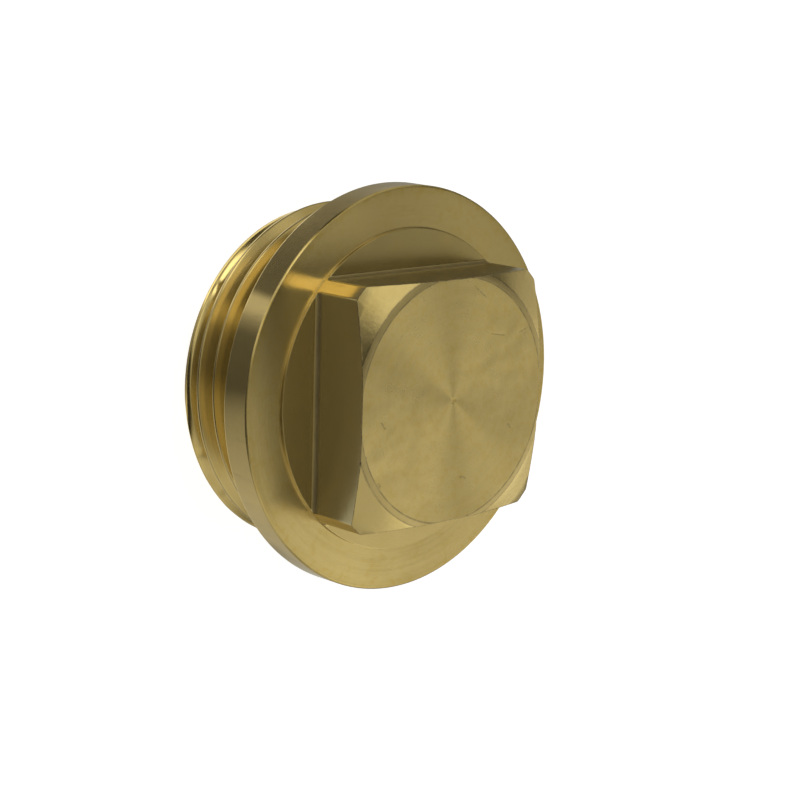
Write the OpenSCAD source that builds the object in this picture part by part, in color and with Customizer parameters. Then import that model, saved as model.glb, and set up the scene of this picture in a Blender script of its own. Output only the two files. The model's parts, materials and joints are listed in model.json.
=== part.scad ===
// Cleanout plug: turned brass, with a shank for a pipe thread, a seating flange and a square head.
// The axis is Z, the seat of the flange lies at Z = 0 and the head points up.

/* [Shank] */
// Outside diameter of the shank, over the thread crests
thread_d = 33.25; // [30:0.05:36]
// Length of the shank at its full diameter, below the seat
thread_len = 8.8; // [4:0.1:20]
// Chamfer that leads the shank into its socket
lead_chamfer = 1; // [0.2:0.1:2]

/* [Flange] */
// Diameter of the flange
flange_d = 38.3; // [37:0.1:60]
// Thickness of the flange
flange_t = 3.25; // [2:0.05:8]
// Chamfer on the edge of the flange's upper face
flange_chamfer = 0.15; // [0.1:0.05:0.8]
// Chamfer on the edge of the flange's seat
seat_chamfer = 0.25; // [0.1:0.05:0.8]

/* [Head] */
// Distance across the flats of the square
head_af = 22.55; // [19:0.05:23.5]
// Diameter of the turned blank that the square is milled from
blank_d = 30.4; // [28:0.1:36]
// Height of the head's face above the flange
head_h = 6.55; // [4:0.05:14]
// Height of the round collar that is left under the flats
collar_h = 0.3; // [0.2:0.05:1.5]
// Radius in the corner between a flat and the collar
flat_fillet = 0.3; // [0.1:0.05:0.8]
// Diameter of the flat face
face_d = 22.85; // [18:0.05:23.5]
// Width of the shallow ring round the face
ring_w = 0.63; // [0.2:0.01:1.5]
// Drop of the ring from its inner to its outer edge
ring_drop = 0.09; // [0.02:0.01:0.3]
// Slope of the conical corner chamfers
corner_slope = 17; // [8:0.5:30]

/* [Hidden] */

$fn = 96;
// Spare length of the milling cuts past the surfaces they cut
over = 1;

thread_r = thread_d / 2;
flange_r = flange_d / 2;
blank_r = blank_d / 2;
face_r = face_d / 2;
ring_r = face_r + ring_w;

// Levels above the seat
collar_z = flange_t + collar_h;
face_z = flange_t + head_h;
ring_z = face_z - ring_drop;
land_z = ring_z - (blank_r - ring_r) * tan(corner_slope);

// Level of the shank's free end
end_z = -thread_len - lead_chamfer;

// Half section of the turned plug, from the shank's end up to the head's face
module turned_section() {
    polygon([
        [0, end_z],
        [thread_r - lead_chamfer, end_z],
        [thread_r, -thread_len],
        [thread_r, 0],
        [flange_r - seat_chamfer, 0],
        [flange_r, seat_chamfer],
        [flange_r, flange_t - flange_chamfer],
        [flange_r - flange_chamfer, flange_t],
        [blank_r, flange_t],
        [blank_r, land_z],
        [ring_r, ring_z],
        [face_r, face_z],
        [0, face_z]
    ]);
}

// Section of a milling cut: outwards from the flat and upwards from the collar, with a rounded inner corner
module cut_section() {
    cut_w = blank_r - head_af / 2 + over;
    cut_h = head_h - collar_h + over;
    translate([flat_fillet, 0])
        square([cut_w - flat_fillet, cut_h]);
    translate([0, flat_fillet])
        square([cut_w, cut_h - flat_fillet]);
    translate([flat_fillet, flat_fillet])
        circle(flat_fillet);
}

// The cut that leaves one flat of the square, facing +X
module flat_cut() {
    cut_len = 2 * (blank_r + over);
    translate([head_af / 2, cut_len / 2, collar_z])
        rotate([90, 0, 0])
            linear_extrude(cut_len)
                cut_section();
}

// The whole plug: one turned piece with four milled flats
module plug_body() {
    color("#b5963f")
        difference() {
            rotate_extrude()
                turned_section();
            for (turn = [0 : 90 : 270])
                rotate(turn)
                    flat_cut();
        }
}

plug_body();
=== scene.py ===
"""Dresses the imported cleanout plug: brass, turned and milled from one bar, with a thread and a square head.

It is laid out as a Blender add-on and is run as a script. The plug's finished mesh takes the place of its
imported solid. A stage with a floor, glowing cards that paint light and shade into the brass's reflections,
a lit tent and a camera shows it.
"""
import json
import math

import bmesh
import bpy
from bpy.props import FloatProperty, FloatVectorProperty, PointerProperty
from mathutils import Matrix, Vector, noise


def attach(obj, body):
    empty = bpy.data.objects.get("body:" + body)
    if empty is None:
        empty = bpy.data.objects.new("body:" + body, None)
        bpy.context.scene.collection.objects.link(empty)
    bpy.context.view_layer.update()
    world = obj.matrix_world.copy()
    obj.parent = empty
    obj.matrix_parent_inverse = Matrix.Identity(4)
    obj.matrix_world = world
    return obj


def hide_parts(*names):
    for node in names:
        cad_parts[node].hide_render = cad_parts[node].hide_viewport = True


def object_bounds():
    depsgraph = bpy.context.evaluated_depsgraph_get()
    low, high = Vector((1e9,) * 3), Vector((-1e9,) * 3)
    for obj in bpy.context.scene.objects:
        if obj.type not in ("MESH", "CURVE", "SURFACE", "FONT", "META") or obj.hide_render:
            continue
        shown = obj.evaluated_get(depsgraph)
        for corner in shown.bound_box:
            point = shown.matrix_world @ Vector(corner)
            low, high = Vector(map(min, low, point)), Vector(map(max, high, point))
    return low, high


bl_info = {
    "name": "Cleanout plug",
    "version": (1, 0, 0),
    "blender": (4, 5, 0),
    "location": "View3D > Sidebar > Plug",
    "description": "Builds a brass cleanout plug over its packed frame, and the stage that shows it",
    "category": "Add Mesh",
}

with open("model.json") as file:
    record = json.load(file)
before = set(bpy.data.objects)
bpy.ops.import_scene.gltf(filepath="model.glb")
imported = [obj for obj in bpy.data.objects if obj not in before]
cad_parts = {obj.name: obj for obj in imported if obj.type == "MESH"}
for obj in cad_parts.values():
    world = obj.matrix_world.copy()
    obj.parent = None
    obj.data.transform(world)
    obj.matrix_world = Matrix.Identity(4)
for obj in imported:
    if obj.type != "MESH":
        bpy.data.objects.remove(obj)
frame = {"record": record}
CAD_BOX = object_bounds()

MM = 0.001
THREAD_MOUNT = next(mount for mount in frame["record"]["mounts"] if mount["name"] == "thread")


def length(name, description, default):
    """A size in metres that a user can change."""
    return FloatProperty(name=name, description=description, default=default, unit="LENGTH", precision=5)


def angle(name, description, degrees):
    """An angle that a user can change."""
    return FloatProperty(name=name, description=description, default=math.radians(degrees), subtype="ANGLE")


def share(name, description, default):
    """A number from 0 to 1 that a user can change."""
    return FloatProperty(name=name, description=description, default=default, min=0, max=1, subtype="FACTOR")


def level(name, description, default):
    """A brightness that a user can change, where 1 is white."""
    return FloatProperty(name=name, description=description, default=default, min=0)


def colour(name, description, default):
    """A colour that a user can change."""
    return FloatVectorProperty(name=name, description=description, default=default, size=3, min=0, max=1,
                               subtype="COLOR")


class PlugSizes(bpy.types.PropertyGroup):
    """Sizes of the plug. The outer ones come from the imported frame."""
    flange_r: length("Flange radius", "Radius of the flange", CAD_BOX[1].x)
    face_z: length("Face level", "Level of the head's face above the seat", CAD_BOX[1].z)
    end_z: length("End level", "Level of the shank's free end", CAD_BOX[0].z)
    thread_r: length("Thread radius", "Radius over the thread crests", THREAD_MOUNT["dims"]["r_mm"] * MM)
    thread_len: length("Thread length", "Shank at its full radius, below the seat",
                       THREAD_MOUNT["dims"]["length_mm"] * MM)
    pitch: length("Pitch", "Rise of the thread in one turn", 2.31 * MM)
    crest_w: length("Crest width", "Flat on the thread's crest", 0.18 * MM)
    groove_depth: length("Groove depth", "Depth of the thread's groove", 1.5 * MM)
    thread_angle: angle("Thread angle", "Angle between the flanks of the thread", 55)
    thread_start: angle("Thread start", "Where the groove meets the lead chamfer", 63)
    fade_from: FloatProperty(name="Fade from", description="Turn at which the groove begins to run out",
                             default=2.75)
    fade_to: FloatProperty(name="Fade to", description="Turn at which the groove has run out", default=3.4)
    flange_t: length("Flange thickness", "Thickness of the flange", 3.25 * MM)
    flange_chamfer: length("Flange chamfer", "Chamfer on the flange's upper edge", 0.15 * MM)
    seat_chamfer: length("Seat chamfer", "Chamfer on the edge of the seat", 0.25 * MM)
    head_af: length("Across flats", "Distance across the flats of the square", 22.55 * MM)
    blank_r: length("Blank radius", "Radius of the blank that the square is milled from", 15.2 * MM)
    collar_h: length("Collar height", "Height of the collar under the flats", 0.3 * MM)
    flat_fillet: length("Flat fillet", "Radius between a flat and the collar", 0.3 * MM)
    face_r: length("Face radius", "Radius of the flat face", 11.425 * MM)
    ring_w: length("Ring width", "Width of the shallow ring round the face", 0.63 * MM)
    ring_drop: length("Ring drop", "Drop of the ring across its width", 0.09 * MM)
    corner_slope: angle("Corner slope", "Slope of the conical corner chamfers", 17)
    edge_break: length("Edge break", "Rounding of the milled edges", 0.045 * MM)
    collar_break: length("Collar edge break", "Rounding of the collar's edge", 0.05 * MM)
    turned_break: length("Turned edge break", "Rounding of the turned edges", 0.05 * MM)


class PlugFinish(bpy.types.PropertyGroup):
    """Colours and finishes of the brass."""
    brass: colour("Brass", "Clean cut brass", (0.70, 0.555, 0.235))
    stain: colour("Stain", "Brass with a yellow-brown stain", (0.66, 0.49, 0.15))
    skin: colour("Bar skin", "Duller brass of the rim", (0.65, 0.51, 0.225))
    milled: colour("Milled brass", "Brass of the flats, under a thin grey film", (0.61, 0.54, 0.32))
    # The mark colour is dirt in nicks and scratches, and also painted shade: round the collar's foot, in the
    # corner between the flats and the collar floor, and on the thread's crests.
    mark: colour("Mark", "Dark dirt in nicks and scratches", (0.12, 0.10, 0.075))
    face_roughness: share("Face roughness", "Roughness of the head's face", 0.30)
    corner_roughness: share("Corner roughness", "Roughness of the ring and the conical corners", 0.15)
    flange_roughness: share("Flange roughness", "Roughness of the flange's faces", 0.22)
    rim_roughness: share("Rim roughness", "Roughness of the rim and the lands", 0.14)
    milled_roughness: share("Milled roughness", "Roughness of the milled flats", 0.22)
    thread_roughness: share("Thread roughness", "Roughness of the thread and the seat", 0.17)
    metal: share("Metal", "How far the brass is free of a dull film", 0.88)
    turning: share("Turning", "How far turning marks stretch the reflections", 0.95)


class PlugStage(bpy.types.PropertyGroup):
    """The camera and the light."""
    view_azimuth: angle("View azimuth", "Direction of the camera round the axis", 163.4)
    view_elevation: angle("View elevation", "Height of the camera above the floor", 45.4)
    view_roll: angle("View roll", "Turn of the camera about its own axis", 103.6)
    view_distance: length("View distance", "Distance from the camera to its aim", 209 * MM)
    view_aim: FloatVectorProperty(name="View aim", description="Point that the camera looks at", size=3,
                                  default=(-0.31 * MM, -1.02 * MM, 3.0 * MM), subtype="XYZ", unit="LENGTH",
                                  precision=5)
    lens: FloatProperty(name="Lens", description="Focal length in millimetres, on a 36 mm sensor",
                        default=100.36)
    floor: colour("Floor", "Colour of the floor", (0.6, 0.62, 0.71))
    floor_glow: level("Floor glow", "Light that the floor adds to its own white", 0.82)
    tent: level("Tent", "Brightness of the tent round the plug, between its lit panels", 0.0)
    tent_tint: colour("Tent tint", "Colour of the tent's light", (1.0, 0.97, 0.84))


class Form:
    """The plug's form: rows of (radius, level, surface) down each half section, from face to free end."""

    # Shares of the face's radius that have a row
    FACE_RINGS = (0.0, 0.25, 0.5, 0.75, 0.93)
    # Nicks in the front edges of the flats: angle round the axis, half width in degrees, size in millimetres
    EDGE_NICKS = (
        (147.5, 0.7, 0.05), (150.5, 0.6, 0.04), (158.2, 0.7, 0.06), (163.0, 0.6, 0.04), (201.0, 0.7, 0.09),
        (103.2, 0.7, 0.05), (97.0, 0.9, 0.04), (87.1, 0.7, 0.05), (79.5, 0.7, 0.04), (71.1, 0.7, 0.06),
        (57.4, 0.7, 0.04), (12.0, 0.8, 0.05), (338.0, 0.7, 0.05), (262.0, 0.7, 0.05), (281.0, 0.7, 0.06),
    )
    # Dents in the thread's crests: angle round the axis, level, half width and depth in millimetres
    CREST_DENTS = (
        (143.8, -8.7, 0.45, 0.16), (203.6, -8.3, 0.40, 0.14), (221.8, -8.0, 0.45, 0.16),
        (66.0, -5.2, 0.50, 0.12), (318.0, -7.0, 0.45, 0.14),
    )

    def __init__(self, sizes):
        self.s = sizes
        self.half_af = sizes.head_af / 2
        self.ring_r = sizes.face_r + sizes.ring_w
        self.ring_z = sizes.face_z - sizes.ring_drop
        self.collar_z = sizes.flange_t + sizes.collar_h
        self.land_angle = math.acos(self.half_af / sizes.blank_r)
        self.groove_half = (sizes.pitch - sizes.crest_w) / 2
        self.flank_slope = 1 / math.tan(sizes.thread_angle / 2)
        # Level of the groove's middle at angle 0 of its first turn
        self.groove_z = -sizes.thread_len - sizes.pitch * sizes.thread_start / math.tau
        self.thread_offsets = self.offsets_in_pitch()

    def offsets_in_pitch(self):
        """Distances from the groove's middle at which the thread has a row, down one pitch."""
        root_half = self.groove_half - self.s.groove_depth / self.flank_slope
        edge = 0.05 * MM
        half = [root_half * 0.7, root_half * 1.1, root_half + 2 * edge, (root_half + self.groove_half) / 2,
                self.groove_half - 2 * edge, self.groove_half - edge * 0.7, self.groove_half,
                self.groove_half + edge]
        return [self.s.pitch / 2] + half[::-1] + [0] + [-offset for offset in half]

    def angles(self):
        """Angles of the half sections: an even ring, with more where the flats meet lands, ring and face."""
        even = 480
        near_edge = (-0.9, -0.55, -0.25, 0, 0.25, 0.55, 0.9)
        found = {math.tau * step / even for step in range(even + 1)}
        for quarter in range(4):
            for side in (-1, 1):
                for offset in near_edge:
                    found.add(quarter * math.pi / 2 + side * (self.land_angle + math.radians(offset)))
                for radius in (self.s.face_r, self.ring_r):
                    found.add(quarter * math.pi / 2 + side * math.acos(self.half_af / radius))
        return sorted({turn % math.tau if turn < 0 else turn for turn in found})

    def top_z(self, r):
        """Level of the face, the ring and the conical corner at a radius."""
        if r <= self.s.face_r:
            return self.s.face_z
        if r <= self.ring_r:
            part = (r - self.s.face_r) / self.s.ring_w
            return self.s.face_z - self.s.ring_drop * part * (0.3 + 0.7 * part)
        return self.ring_z - (r - self.ring_r) * math.tan(self.s.corner_slope)

    def edge_size(self, theta):
        """Size of the broken edge round the front of the flats, with its nicks."""
        noise_r = 14
        along = Vector((math.cos(theta), math.sin(theta), 0)) * noise_r
        size = self.s.edge_break * (1 + 0.5 * noise.noise(along) + 0.3 * noise.noise(along * 5))
        for degrees, width, depth in self.EDGE_NICKS:
            away = (math.degrees(theta) - degrees) / width
            size += depth * MM * math.exp(-away * away)
        return size

    def head_rows(self, theta):
        """Face, ring, corner, flat or land, and collar."""
        s = self.s
        cosine = math.cos(from_flat(theta))
        soft = 3 * s.edge_break

        def wall(offset):
            return smooth_min((self.half_af + offset) / cosine, s.blank_r, soft)

        edge = self.edge_size(theta)
        inner = wall(0) - edge
        tiny = s.turned_break
        radii = [s.face_r * part for part in self.FACE_RINGS]
        radii += [s.face_r - tiny, s.face_r + tiny]
        radii += [s.face_r + s.ring_w * part for part in (0.25, 0.5, 0.75)]
        radii += [self.ring_r - tiny, self.ring_r + tiny]
        radii += [self.ring_r + (s.blank_r - self.ring_r) * part for part in (0.33, 0.66)]
        shy = inner - tiny
        rows = [(min(r, shy), self.top_z(min(r, shy)), "face" if r < s.face_r else "corner") for r in radii]
        front = (wall(0), self.top_z(wall(0)))
        low = (wall(0), front[1] - edge)
        brow = round_corner((inner, self.top_z(inner)), front, low, edge, 4)
        rows += [(*brow[0], "corner")] + [(r, z, "edge") for r, z in brow[1:]]
        base = self.collar_z + s.flat_fillet
        rows += [(wall(0), low[1] - tiny, "wall")]
        rows += [(wall(0), base + (low[1] - base) * part, "wall") for part in (0.66, 0.33)]
        rows += [(wall(0), base + tiny, "wall"), (wall(0), base, "wall")]
        for step in (1, 2, 3, 4):
            turn = step * math.pi / 8
            rows.append((wall(s.flat_fillet * (1 - math.cos(turn))),
                         self.collar_z + s.flat_fillet * (1 - math.sin(turn)), "wall"))
        foot = wall(s.flat_fillet)
        collar = round_corner((0, self.collar_z), (s.blank_r, self.collar_z), (s.blank_r, s.flange_t),
                              s.collar_break, 4)
        brink = max(s.blank_r - s.collar_break - tiny, foot)
        rows += [(min(foot + tiny, brink), self.collar_z, "floor"), (brink, self.collar_z, "floor")]
        rows += [(max(r, foot), z, "collar") for r, z in collar]
        return rows

    def flange_rows(self):
        """Face, chamfers, rim and seat of the flange."""
        s = self.s
        tiny = s.turned_break
        rim_top = s.flange_t - s.flange_chamfer
        corners = [
            ((s.blank_r, self.collar_z), "collar"),
            ((s.blank_r, s.flange_t), "flange"),
            ((s.flange_r - s.flange_chamfer, s.flange_t), "flange"),
            ((s.flange_r, rim_top), "rim"),
            ((s.flange_r, s.seat_chamfer), "rim"),
            ((s.flange_r - s.seat_chamfer, 0), "seat"),
            ((s.thread_r, 0), "seat"),
        ]
        rows = []
        for before, here, after in zip(corners, corners[1:], corners[2:]):
            points = round_corner(before[0], here[0], after[0], tiny, 3)
            beside = round_corner(before[0], here[0], after[0], 2 * tiny, 1)
            rows += [(*beside[0], before[1]), (*points[0], before[1])]
            rows += [(*point, here[1]) for point in points[1:] + beside[1:]]
        return rows + [(s.thread_r + part * tiny, 0, "seat") for part in (4, 1)]

    def thread_radius(self, theta, z):
        """Radius of the threaded shank at an angle and a level."""
        s = self.s
        turns = (z - self.groove_z) / s.pitch - theta / math.tau
        groove = round(turns)
        away = abs(turns - groove) * s.pitch
        flank = (self.groove_half - away) * self.flank_slope
        root_blend = 0.3 * MM
        crest_blend = 0.07 * MM
        depth = -smooth_min(-smooth_min(flank, s.groove_depth, root_blend), 0, crest_blend)
        run = (s.fade_to - groove - theta / math.tau) / (s.fade_to - s.fade_from)
        depth *= smooth_step(run)
        radius = s.thread_r - max(depth, 0)
        for degrees, dent_z, width, dent in self.CREST_DENTS:
            around = (theta - math.radians(degrees)) * s.thread_r / MM
            up = z / MM - dent_z
            radius -= dent * MM * math.exp(-(around * around + up * up) / (width * width))
        return min(radius, s.thread_r + s.thread_len + z)

    def thread_rows(self, theta):
        """Rows that follow the thread's helix, from the seat down to the free end."""
        s = self.s
        low_turn = math.floor((s.end_z - self.groove_z) / s.pitch - 1.5)
        high_turn = math.ceil(-self.groove_z / s.pitch + 0.5)
        rows = []
        for turn in range(high_turn, low_turn - 1, -1):
            middle = self.groove_z + s.pitch * (turn + theta / math.tau)
            for offset in self.thread_offsets:
                z = min(max(middle + offset, s.end_z), 0)
                rows.append((self.thread_radius(theta, z), z, "thread"))
        return rows

    def end_rows(self):
        """The free end's flat face, to its middle."""
        rim = self.s.thread_r + self.s.thread_len + self.s.end_z
        return [(rim * part, self.s.end_z, "end") for part in (0.96, 0.6, 0)]

    def column(self, theta):
        """One whole half section."""
        return self.head_rows(theta) + self.flange_rows() + self.thread_rows(theta) + self.end_rows()


def from_flat(theta):
    """Angle from the nearest flat's middle."""
    return abs((theta + math.pi / 4) % (math.pi / 2) - math.pi / 4)


def smooth_min(a, b, blend):
    """The lesser of two numbers, rounded where they are within blend of each other."""
    near = max(blend - abs(a - b), 0) / blend
    return min(a, b) - near * near * blend / 4


def smooth_step(x):
    """0 below 0, 1 above 1 and smooth between."""
    x = min(max(x, 0), 1)
    return x * x * (3 - 2 * x)


def round_corner(before, corner, after, size, steps):
    """Points that round the corner of a section, starting and ending at a distance of size from it."""
    before, corner, after = Vector(before), Vector(corner), Vector(after)
    start = corner + (before - corner).normalized() * size
    end = corner + (after - corner).normalized() * size
    points = []
    for step in range(steps + 1):
        t = step / steps
        points.append(tuple(start * (1 - t) ** 2 + corner * 2 * t * (1 - t) + end * t ** 2))
    return points


# Which material each surface of the plug takes, by its place in the list that PLUG_OT_body makes
SURFACES = {
    "face": 0, "flange": 1, "end": 1, "collar": 1, "rim": 2, "wall": 3, "floor": 3, "thread": 4, "seat": 4,
    "edge": 5, "corner": 6,
}
LAND = SURFACES["rim"]


def plug_mesh(form):
    """The plug as one closed mesh: half sections joined round the axis."""
    angles = form.angles()
    columns = [form.column(theta) for theta in angles]
    bm = bmesh.new()
    rings = []
    for theta, column in zip(angles, columns):
        cosine, sine = math.cos(theta), math.sin(theta)
        rings.append([bm.verts.new((r * cosine, r * sine, z)) for r, z, surface in column])
    surfaces = [surface for r, z, surface in columns[0]]
    for index, (left, right) in enumerate(zip(rings, rings[1:])):
        on_land = from_flat((angles[index] + angles[index + 1]) / 2) > form.land_angle
        for row in range(len(surfaces) - 1):
            quad = bm.faces.new((left[row], left[row + 1], right[row + 1], right[row]))
            quad.smooth = True
            surface = surfaces[row + 1]
            quad.material_index = LAND if surface == "wall" and on_land else SURFACES[surface]
    merge = 0.0004 * MM
    sliver = 0.0002 * MM
    bmesh.ops.remove_doubles(bm, verts=bm.verts, dist=merge)
    bmesh.ops.dissolve_degenerate(bm, edges=bm.edges, dist=sliver)
    bmesh.ops.recalc_face_normals(bm, faces=bm.faces)
    if not all(edge.is_manifold for edge in bm.edges):
        raise RuntimeError("the plug's mesh isn't closed")
    mesh = bpy.data.meshes.new("brass_plug")
    bm.to_mesh(mesh)
    bm.free()
    return mesh


class Socket:
    """A value in a material. Sums on it add Math nodes."""

    def __init__(self, shader, link):
        self.shader = shader
        self.link = link

    def math(self, operation, *values):
        return self.shader.node("ShaderNodeMath", {"operation": operation}, dict(enumerate(values)))

    def __add__(self, other):
        return self.math("ADD", self, other)

    def __sub__(self, other):
        return self.math("SUBTRACT", self, other)

    def __rsub__(self, other):
        return self.math("SUBTRACT", other, self)

    def __mul__(self, other):
        return self.math("MULTIPLY", self, other)

    def __truediv__(self, other):
        return self.math("DIVIDE", self, other)

    def __rtruediv__(self, other):
        return self.math("DIVIDE", other, self)

    def __pow__(self, other):
        return self.math("POWER", self, other)

    def __rpow__(self, other):
        return self.math("POWER", other, self)

    __radd__ = __add__
    __rmul__ = __mul__

    def step(self, low, high):
        """0 where the value is at or below low, 1 at or above high and smooth between."""
        return self.shader.node("ShaderNodeMapRange", {"interpolation_type": "SMOOTHSTEP", "clamp": True},
                                {"Value": self, "From Min": low, "From Max": high})


class Shader:
    """The nodes of one material or world."""

    def __init__(self, owner, metal=1.0):
        owner.use_nodes = True
        self.metal = metal
        self.tree = owner.node_tree
        self.tree.nodes.clear()

    def node(self, kind, settings=None, sockets=None, output=0):
        """Adds a node: its settings first, then the values or links of its sockets. Gives one output."""
        node = self.tree.nodes.new(kind)
        for name, value in (settings or {}).items():
            if name == "stops":
                self.set_stops(node.color_ramp, value)
            else:
                setattr(node, name, value)
        for name, value in (sockets or {}).items():
            if isinstance(value, Socket):
                self.tree.links.new(value.link, node.inputs[name])
            else:
                node.inputs[name].default_value = value
        if not node.outputs:
            return None
        return Socket(self, node.outputs[output])

    def set_stops(self, ramp, stops):
        """Gives a colour ramp its stops, as (place, grey level)."""
        while len(ramp.elements) < len(stops):
            ramp.elements.new(1)
        for element, (place, grey) in zip(ramp.elements, stops):
            element.position = place
            element.color = (grey, grey, grey, 1)

    def vector_math(self, operation, sockets, output="Vector"):
        """A sum on vectors."""
        return self.node("ShaderNodeVectorMath", {"operation": operation}, sockets, output)

    def place(self):
        """The point on the piece in millimetres, as a vector and as its x, y and z."""
        metres = self.node("ShaderNodeTexCoord", output="Object")
        point = self.vector_math("SCALE", {0: metres, "Scale": 1 / MM})
        return point, *(self.node("ShaderNodeSeparateXYZ", None, {0: point}, axis) for axis in "XYZ")

    def vector(self, x, y, z):
        return self.node("ShaderNodeCombineXYZ", None, {"X": x, "Y": y, "Z": z})

    def noise(self, where, scale, detail=2.0, roughness=0.5):
        """Even cloudy noise, about 0 to 1."""
        return self.node("ShaderNodeTexNoise", {"noise_dimensions": "3D"},
                         {"Vector": where, "Scale": scale, "Detail": detail, "Roughness": roughness})

    def mix(self, factor, first, second, blend="MIX"):
        """Mixes two colours."""
        pair = [value if isinstance(value, Socket) else (*value, 1) for value in (first, second)]
        return self.node("ShaderNodeMix", {"data_type": "RGBA", "blend_type": blend},
                         {"Factor": factor, 6: pair[0], 7: pair[1]}, 2)

    def scratch(self, point, start, end, width):
        """1 on a straight mark between two points in millimetres, fading to 0 at its edge."""
        start, end = Vector(start), Vector(end)
        along = end - start
        offset = self.vector_math("SUBTRACT", {0: point, 1: start})
        reach = self.vector_math("DOT_PRODUCT", {0: offset, 1: along}, "Value")
        part = self.node("ShaderNodeClamp", None, {"Value": reach / along.length_squared})
        foot = self.vector_math("SCALE", {0: along, "Scale": part})
        away = self.vector_math("DISTANCE", {0: offset, 1: foot}, "Value")
        return 1 - away.step(width * 0.4, width)

    def brass(self, base, roughness, height, bump, turning):
        """Finishes a brass surface: its colour, its roughness and the height of its marks."""
        normal = self.node("ShaderNodeBump", None, {"Height": height, "Strength": 1.0, "Distance": bump * MM})
        quarter_turn = 0.25
        surface = self.node("ShaderNodeBsdfPrincipled", None, {
            "Base Color": base, "Metallic": self.metal, "Roughness": roughness, "Normal": normal,
            "Anisotropic": turning, "Anisotropic Rotation": quarter_turn})
        self.node("ShaderNodeOutputMaterial", None, {"Surface": surface})


def polar(shader):
    """The point on the piece, its level, its radius and its direction from the axis as x and y."""
    point, x, y, z = shader.place()
    radius = (x * x + y * y + 1e-6) ** 0.5
    return point, z, radius, x / radius, y / radius


def dimmed(tone, part):
    """A darker tone of a colour."""
    return [value * part for value in tone]


# Marks on the head's face, in millimetres: start and end as x and y, and width
FACE_MARKS = (
    ((2.3, 10.4), (3.8, 9.3), 0.10),
    ((4.7, 5.8), (6.4, 5.5), 0.09),
    ((8.4, 5.6), (9.2, 5.9), 0.08),
    ((10.2, 5.8), (10.7, 5.5), 0.22),
    ((-10.2, -6.0), (-10.0, -6.3), 0.16),
    ((-9.1, -6.5), (-8.9, -6.8), 0.18),
    ((-8.0, -8.3), (-7.8, -8.5), 0.16),
    ((7.3, -3.1), (7.6, -3.4), 0.16),
    ((1.2, -7.3), (1.8, -7.5), 0.18),
    ((-8.9, -0.9), (-8.5, -1.5), 0.16),
    ((-11.2, -4.3), (-10.7, -3.9), 0.20),
)


def turned_face(finish, sizes):
    """Head face: faint turning rings round a small pip, stains and small marks."""
    material = bpy.data.materials.new("brass_turned_face")
    shader = Shader(material, finish.metal)
    point, _, radius, across_x, across_y = polar(shader)
    rings = shader.noise(shader.vector(radius * 7, across_x * 2, across_y * 2), 1.0, 3)
    bands = shader.noise(shader.vector(radius * 1.3, across_x * 0.8, across_y * 0.8), 1.0, 2)
    cloud = shader.noise(point, 0.32, 4, 0.6)
    spots = shader.noise(point, 0.9, 3)
    veins = shader.noise(point, 1.7, 3, 0.6)
    swell = shader.noise(point, 0.4, 1)
    grit = shader.noise(point, 5.0, 2)
    pip = 1 - radius.step(0.1, 0.35)
    face_z = sizes.face_z / MM
    marks = 0
    for start, end, width in FACE_MARKS:
        marks = shader.scratch(point, (*start, face_z), (*end, face_z), width) * 0.35 + marks
    rim = radius.step(sizes.face_r / MM - 0.12, sizes.face_r / MM) * spots.step(0.25, 0.65) * 0.35
    stain = cloud.step(0.45, 0.75) * 0.3 + veins.step(0.48, 0.62) * 0.4 + pip * 0.5
    stained = shader.mix(stain, finish.brass, finish.stain)
    tone = rings.step(0.35, 0.75) * 0.10 + bands.step(0.4, 0.7) * 0.10 + veins.step(0.5, 0.3) * 0.12
    toned = shader.mix(tone, stained, dimmed(finish.brass, 0.72))
    base = shader.mix(marks * grit.step(0.3, 0.55) + rim, toned, finish.mark)
    roughness = finish.face_roughness + (cloud - 0.5) * 0.12 + (veins - 0.5) * 0.1
    roughness = roughness + (1 - radius.step(0, 4)) * 0.06
    height = rings * 0.3 + bands * 0.3 + swell * 9 - marks * 1.5 - pip * 8
    shader.brass(base, roughness, height, 0.004, finish.turning)
    return material


def turned_corner(finish, sizes):
    """Ring and conical corners: a brighter cut with small pits, and dirt where the ring's edges are."""
    material = bpy.data.materials.new("brass_turned_corner")
    shader = Shader(material, finish.metal)
    point, _, radius, across_x, across_y = polar(shader)
    rings = shader.noise(shader.vector(radius * 6, across_x * 1.5, across_y * 1.5), 1.0, 3)
    cloud = shader.noise(point, 0.35, 4, 0.6)
    spots = shader.noise(point, 0.9, 3)
    pits = shader.noise(point, 2.2, 3)
    ring_in = sizes.face_r / MM
    ring_out = ring_in + sizes.ring_w / MM
    dirt = 0
    for edge in (ring_in, ring_out):
        away = radius - edge
        dirt = (1 - (away * away).step(0.001, 0.012)) * spots.step(0.25, 0.65) * 0.35 + dirt
    stained = shader.mix(cloud.step(0.45, 0.75) * 0.35, finish.brass, finish.stain)
    ringed = shader.mix(rings.step(0.4, 0.75) * 0.15, stained, dimmed(finish.brass, 0.72))
    ring = 1 - radius.step(ring_out - 0.05, ring_out + 0.05)
    base = shader.mix(dirt + ring * 0.25, ringed, finish.mark)
    roughness = finish.corner_roughness + ring * 0.18 + (cloud - 0.5) * 0.06 + (pits - 0.5) * 0.08
    shader.brass(base, roughness, pits * 1.2 + rings * 0.3 - dirt * 2, 0.004, finish.turning * 0.7)
    return material


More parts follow.
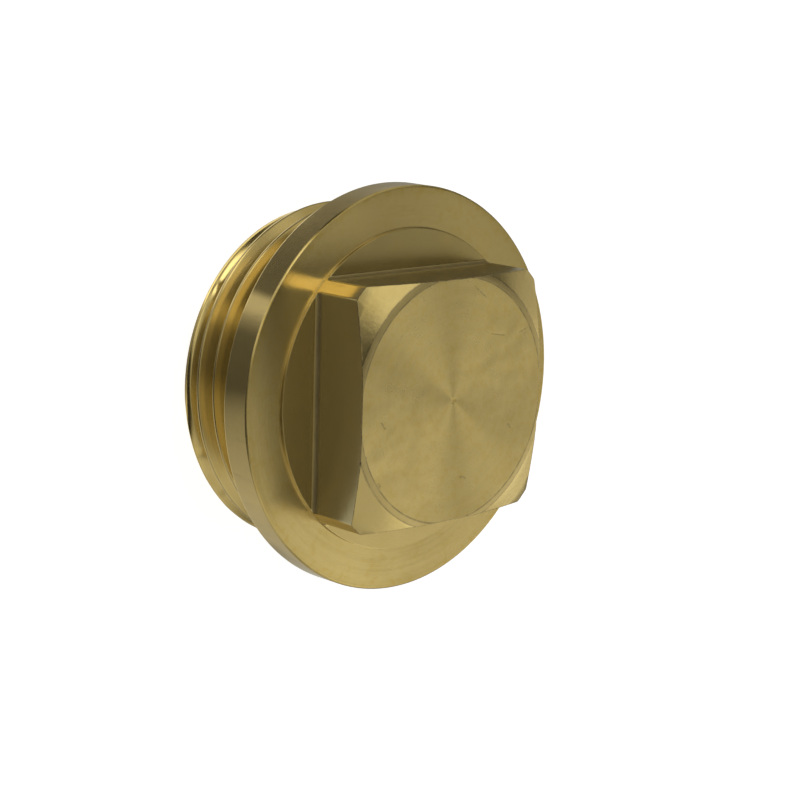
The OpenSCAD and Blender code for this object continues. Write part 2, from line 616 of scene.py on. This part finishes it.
def turned_flange(finish, sizes):
    """Flange face, collar edge and free end: brighter turning with fine rings, and dirt and painted shade
    round the collar's foot.
    """
    material = bpy.data.materials.new("brass_turned_flange")
    shader = Shader(material, finish.metal)
    point, _, radius, across_x, across_y = polar(shader)
    rings = shader.noise(shader.vector(radius * 6, across_x * 1.2, across_y * 1.2), 1.0, 3)
    cloud = shader.noise(point, 0.25, 4, 0.6)
    spots = shader.noise(point, 0.8, 3, 0.6)
    veins = shader.noise(point, 1.6, 2, 0.6)
    grit = shader.noise(point, 4.0, 2)
    rim = radius.step(sizes.flange_r / MM - 1.1, sizes.flange_r / MM - 0.2)
    stain = cloud.step(0.48, 0.75) * 0.35 + veins.step(0.5, 0.66) * (0.45 + rim * 0.4) + rim * 0.3
    stained = shader.mix(stain, finish.brass, finish.stain)
    ringed = shader.mix(rings.step(0.38, 0.72) * 0.16 + rim * 0.12, stained, dimmed(finish.brass, 0.7))
    # Dirt and painted shade: a broken dark line round the collar's foot and edge, where the collar meets the
    # flange face, dims the highlight on the collar's edge.
    away = radius - sizes.blank_r / MM
    dirt = (1 - (away * away).step(0.002, 0.02)) * spots.step(0.3, 0.6) * 0.12
    base = shader.mix(dirt, ringed, finish.mark)
    roughness = finish.flange_roughness + (cloud - 0.5) * 0.10 + (rings - 0.5) * 0.08
    shader.brass(base, roughness, rings * 0.5 + grit * 0.05, 0.005, finish.turning)
    return material


def bar_rim(finish):
    """Rim and lands: the duller skin of the bar, with fine streaks along the axis."""
    material = bpy.data.materials.new("brass_bar_rim")
    shader = Shader(material, finish.metal)
    point, z, _, across_x, across_y = polar(shader)
    streaks = shader.noise(shader.vector(z * 0.3, across_x * 40, across_y * 40), 1.0, 3)
    cloud = shader.noise(point, 0.4, 4, 0.6)
    dulled = shader.mix(cloud.step(0.4, 0.7) * 0.6, finish.skin, finish.brass)
    base = shader.mix(streaks.step(0.55, 0.75) * 0.12, dulled, finish.mark)
    roughness = finish.rim_roughness + (streaks - 0.5) * 0.08 + (cloud - 0.5) * 0.08
    shader.brass(base, roughness, streaks * 0.2, 0.001, 0.0)
    return material


def milled_flat(finish, sizes):
    """Flats and collar floor: fine cutter lines, a few stains, and painted shade in the corner between them.
    """
    material = bpy.data.materials.new("brass_milled_flat")
    shader = Shader(material, finish.metal)
    point, x, y, z = shader.place()
    lines = shader.noise(shader.vector(x * 0.25, y * 0.25, z * 7), 1.0, 3)
    cloud = shader.noise(point, 0.3, 4, 0.6)
    grit = shader.noise(point, 6.0, 2)
    floor_z = (sizes.flange_t + sizes.collar_h) / MM
    flat_z = floor_z + sizes.flat_fillet / MM
    filmed = shader.mix(z.step(floor_z + 0.1, flat_z), dimmed(finish.brass, 0.9), finish.milled)
    stained = shader.mix(cloud.step(0.45, 0.75) * 0.3, filmed, finish.stain)
    lined = shader.mix(lines.step(0.45, 0.75) * 0.12, stained, dimmed(finish.milled, 0.7))
    # Painted shade: the corner between the flats and the collar floor, up the fillet, is darkened with the
    # mark colour and made rougher.
    corner = z.step(floor_z, floor_z + 0.05) * (1 - z.step(flat_z, flat_z + 0.5))
    base = shader.mix(corner * (cloud.step(0.3, 0.7) * 0.2 + 0.45), lined, finish.mark)
    roughness = finish.milled_roughness + corner * 0.4 + (cloud - 0.5) * 0.14 + (lines - 0.5) * 0.1
    shader.brass(base, roughness, lines * 0.6 + grit * 0.3, 0.002, 0.0)
    return material


def cut_thread(finish, sizes):
    """Thread and seat: bright cut flanks with fine lines round the shank, and crests darkened with painted
    shade.
    """
    material = bpy.data.materials.new("brass_cut_thread")
    shader = Shader(material, finish.metal)
    point, z, radius, across_x, _ = polar(shader)
    lines = shader.noise(shader.vector(radius * 9, z * 3, across_x * 1.5), 1.0, 2)
    cloud = shader.noise(point, 0.35, 4, 0.6)
    grit = shader.noise(point, 6.0, 2)
    stained = shader.mix(cloud.step(0.45, 0.7) * 0.5, finish.brass, finish.stain)
    # Painted shade: the crests are darkened with the mark colour, which dims the highlight along them.
    crest = radius.step(sizes.thread_r / MM - 0.12, sizes.thread_r / MM - 0.02)
    base = shader.mix(grit.step(0.66, 0.76) * 0.05 + crest * 0.4, stained, finish.mark)
    roughness = finish.thread_roughness + (cloud - 0.5) * 0.10 + (lines - 0.5) * 0.06
    shader.brass(base, roughness, lines * 0.5 + grit * 0.2, 0.0008, 0.0)
    return material


def worn_edge(finish):
    """Broken edges of the head: small burrs, bright where they are rubbed and dark where dirt has caught."""
    material = bpy.data.materials.new("brass_worn_edge")
    shader = Shader(material, finish.metal)
    burrs = shader.noise(shader.place()[0], 5.0, 2)
    base = shader.mix(burrs.step(0.35, 0.55) * 0.8, finish.brass, finish.mark)
    roughness = finish.milled_roughness + (burrs - 0.5) * 0.2
    shader.brass(base, roughness, burrs, 0.05, 0.0)
    return material


class PLUG_OT_body(bpy.types.Operator):
    """Builds the plug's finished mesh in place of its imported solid"""
    bl_idname = "plug.body"
    bl_label = "Build plug"

    def execute(self, context):
        sizes = context.scene.plug_sizes
        finish = context.scene.plug_finish
        plug = bpy.data.objects.new("brass_plug", plug_mesh(Form(sizes)))
        context.scene.collection.objects.link(plug)
        materials = (
            turned_face(finish, sizes),
            turned_flange(finish, sizes),
            bar_rim(finish),
            milled_flat(finish, sizes),
            cut_thread(finish, sizes),
            worn_edge(finish),
            turned_corner(finish, sizes),
        )
        for material in materials:
            plug.data.materials.append(material)
        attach(plug, "root")
        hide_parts("plug_body")
        return {"FINISHED"}


# Lit panels of the tent: azimuth and elevation of the middle, half width of the even part and of the whole
# panel, all in degrees, and the brightness that the panel adds
PANELS = (
    (306, 20, 6, 20, 0.65),
    (342, 21, 5, 18, 1.10),
    (328, 12, 4, 14, 0.25),
    (324, 38, 5, 18, 0.75),
    (311, 54, 10, 24, 0.55),
    (0, 12, 6, 20, 0.50),
    (288, 14, 6, 20, 0.65),
    (346, 38, 4, 16, 0.33),
    (250, 34, 10, 34, 0.75),
    (26, 61, 5, 13, 0.75),
    (28, 24, 8, 22, 0.15),
    (60, 16, 10, 24, 0.45),
    (47, 42, 6, 18, 0.38),
    (70, 60, 8, 28, 0.40),
    (105, 49, 7, 16, 2.10),
    (110, 22, 6, 18, 0.60),
    (148, 44, 10, 24, 0.50),
    (145, 20, 10, 26, 0.70),
    (180, 70, 10, 30, 0.40),
)

# Painted reflections: brightness of the glowing cards round the plug, which only the brass's reflections see:
# angle round the axis in degrees and grey level
NEAR_PAINTED_REFLECTION = (
    (0, 0.30), (60, 0.28), (98, 0.30), (104, 1.50), (116, 1.70), (130, 1.50), (140, 1.70), (147, 1.90),
    (152, 0.60), (160, 0.35), (176, 0.22), (188, 0.80), (205, 1.00), (225, 0.85), (248, 0.35), (285, 0.60),
    (330, 0.30),
)
FAR_PAINTED_REFLECTION = (
    (0, 0.22), (20, 0.25), (57, 0.45), (88, 0.25), (110, 0.17), (131, 0.11), (141, 0.11), (143, 0.68),
    (148, 0.68), (152, 0.32), (157, 0.10), (178, 0.07), (188, 0.30), (201, 0.43), (222, 0.58), (250, 0.52),
    (282, 0.34), (330, 0.29),
)

# The painted reflection cards: their names, their inner and outer radius in millimetres, and their brightness
PAINTED_REFLECTION_CARDS = (("near_painted_reflection", 17, 25, NEAR_PAINTED_REFLECTION), ("far_painted_reflection", 25, 600, FAR_PAINTED_REFLECTION))


def direction(azimuth, elevation):
    """Unit vector towards a direction given in radians."""
    return Vector((math.cos(azimuth) * math.cos(elevation), math.sin(azimuth) * math.cos(elevation),
                   math.sin(elevation)))


def sheet_object(context, name, rows, material):
    """A stage object made of a grid of points."""
    points = [point for row in rows for point in row]
    across = len(rows[0])
    faces = []
    for row in range(len(rows) - 1):
        for step in range(across - 1):
            corner = row * across + step
            faces.append((corner, corner + 1, corner + across + 1, corner + across))
    mesh = bpy.data.meshes.new(name)
    mesh.from_pydata(points, [], faces)
    mesh.materials.append(material)
    sheet = bpy.data.objects.new(name, mesh)
    context.scene.collection.objects.link(sheet)
    return sheet


def only_reflected(sheet):
    """Leaves a card out of everything but reflections, so that it only paints light and shade into the
    brass's reflections.
    """
    sheet.visible_camera = False
    sheet.visible_diffuse = False
    sheet.visible_transmission = False
    sheet.visible_volume_scatter = False
    sheet.visible_shadow = False


def floor_material(stage):
    """A pale floor that shows white and keeps the plug's shadow."""
    material = bpy.data.materials.new("floor")
    shader = Shader(material)
    seen = 0
    for ray in ("Is Camera Ray", "Is Glossy Ray", "Is Transmission Ray"):
        seen = shader.node("ShaderNodeLightPath", output=ray) + seen
    matt = shader.node("ShaderNodeBsdfDiffuse", None, {"Color": (*stage.floor, 1)})
    glow = shader.node("ShaderNodeEmission", None, {"Strength": stage.floor_glow})
    white = shader.node("ShaderNodeAddShader", None, {0: matt, 1: glow})
    surface = shader.node("ShaderNodeMixShader", None, {0: seen, 1: matt, 2: white})
    shader.node("ShaderNodeOutputMaterial", None, {"Surface": surface})
    return material


def painted_reflection_material(name, card, stage):
    """A glowing card whose grey changes round the plug: painted light and shade that only the brass's
    reflections see.
    """
    material = bpy.data.materials.new(name)
    shader = Shader(material)
    _, x, y, _ = shader.place()
    turn = y.math("ARCTAN2", y, x) / math.tau
    whole = turn.math("WRAP", turn, 1.0, 0.0)
    stops = [(degrees / 360, grey) for degrees, grey in card]
    greys = shader.node("ShaderNodeValToRGB", {"stops": stops}, {"Fac": whole})
    tinted = shader.mix(1.0, greys, stage.tent_tint, "MULTIPLY")
    surface = shader.node("ShaderNodeEmission", None, {"Color": tinted})
    shader.node("ShaderNodeOutputMaterial", None, {"Surface": surface})
    return material


def add_floor(context, stage, ground):
    """The floor, and the glowing cards just above it that paint light and shade into the brass's reflections.
    """
    half = 3.0
    corners = [[(x, y, ground) for x in (-half, half)] for y in (-half, half)]
    sheet_object(context, "floor", corners, floor_material(stage))

    steps = 72
    turns = [math.tau * step / steps for step in range(steps + 1)]
    card_z = ground + 0.02 * MM
    # The cards glow with painted light and shade, and only the brass's reflections see them.
    for name, inner, outer, card in PAINTED_REFLECTION_CARDS:
        rings = [[(radius * MM * math.cos(turn), radius * MM * math.sin(turn), card_z) for turn in turns]
                 for radius in (inner, outer)]
        only_reflected(sheet_object(context, name, rings, painted_reflection_material(name, card, stage)))


def add_tent(context, stage):
    """A tent round the plug: soft lit panels, and a plain level between them."""
    world = bpy.data.worlds.new("tent")
    shader = Shader(world)
    outwards = shader.node("ShaderNodeTexCoord", output="Generated")
    light = stage.tent
    for azimuth, elevation, inner, outer, brightness in PANELS:
        middle = direction(math.radians(azimuth), math.radians(elevation))
        cosine = shader.vector_math("DOT_PRODUCT", {0: outwards, 1: middle}, "Value")
        light = cosine.step(math.cos(math.radians(outer)), math.cos(math.radians(inner))) * brightness + light
    background = shader.node("ShaderNodeBackground", None,
                             {"Color": (*stage.tent_tint, 1), "Strength": light})
    shader.node("ShaderNodeOutputWorld", None, {"Surface": background})
    context.scene.world = world


def add_camera(context, stage):
    """The camera, at the photograph's angle."""
    towards = direction(stage.view_azimuth, stage.view_elevation)
    camera = bpy.data.objects.new("camera", bpy.data.cameras.new("camera"))
    camera.data.lens = stage.lens
    camera.data.clip_start = 10 * MM
    turned = towards.to_track_quat("Z", "Y").to_matrix().to_4x4() @ Matrix.Rotation(stage.view_roll, 4, "Z")
    camera.matrix_world = Matrix.Translation(Vector(stage.view_aim) + towards * stage.view_distance) @ turned
    context.scene.collection.objects.link(camera)
    context.scene.camera = camera


class PLUG_OT_stage(bpy.types.Operator):
    """Adds the floor, the cards that paint the reflections, the lit tent and the camera"""
    bl_idname = "plug.stage"
    bl_label = "Build stage"

    def execute(self, context):
        stage = context.scene.plug_stage
        add_floor(context, stage, context.scene.plug_sizes.end_z)
        add_tent(context, stage)
        add_camera(context, stage)
        context.scene.view_settings.view_transform = "Standard"
        return {"FINISHED"}


class PLUG_PT_sidebar(bpy.types.Panel):
    """The plug's settings"""
    bl_idname = "PLUG_PT_sidebar"
    bl_label = "Cleanout plug"
    bl_space_type = "VIEW_3D"
    bl_region_type = "UI"
    bl_category = "Plug"

    def draw(self, context):
        for group in (context.scene.plug_sizes, context.scene.plug_finish, context.scene.plug_stage):
            box = self.layout.box()
            for name in group.__annotations__:
                box.prop(group, name)
        self.layout.operator(PLUG_OT_body.bl_idname)
        self.layout.operator(PLUG_OT_stage.bl_idname)


CLASSES = (PlugSizes, PlugFinish, PlugStage, PLUG_OT_body, PLUG_OT_stage, PLUG_PT_sidebar)


def register():
    for each in CLASSES:
        bpy.utils.register_class(each)
    bpy.types.Scene.plug_sizes = PointerProperty(type=PlugSizes)
    bpy.types.Scene.plug_finish = PointerProperty(type=PlugFinish)
    bpy.types.Scene.plug_stage = PointerProperty(type=PlugStage)


def unregister():
    del bpy.types.Scene.plug_sizes
    del bpy.types.Scene.plug_finish
    del bpy.types.Scene.plug_stage
    for each in reversed(CLASSES):
        bpy.utils.unregister_class(each)


def main():
    register()
    bpy.ops.plug.body()
    bpy.ops.plug.stage()


if __name__ == "__main__":
    main()
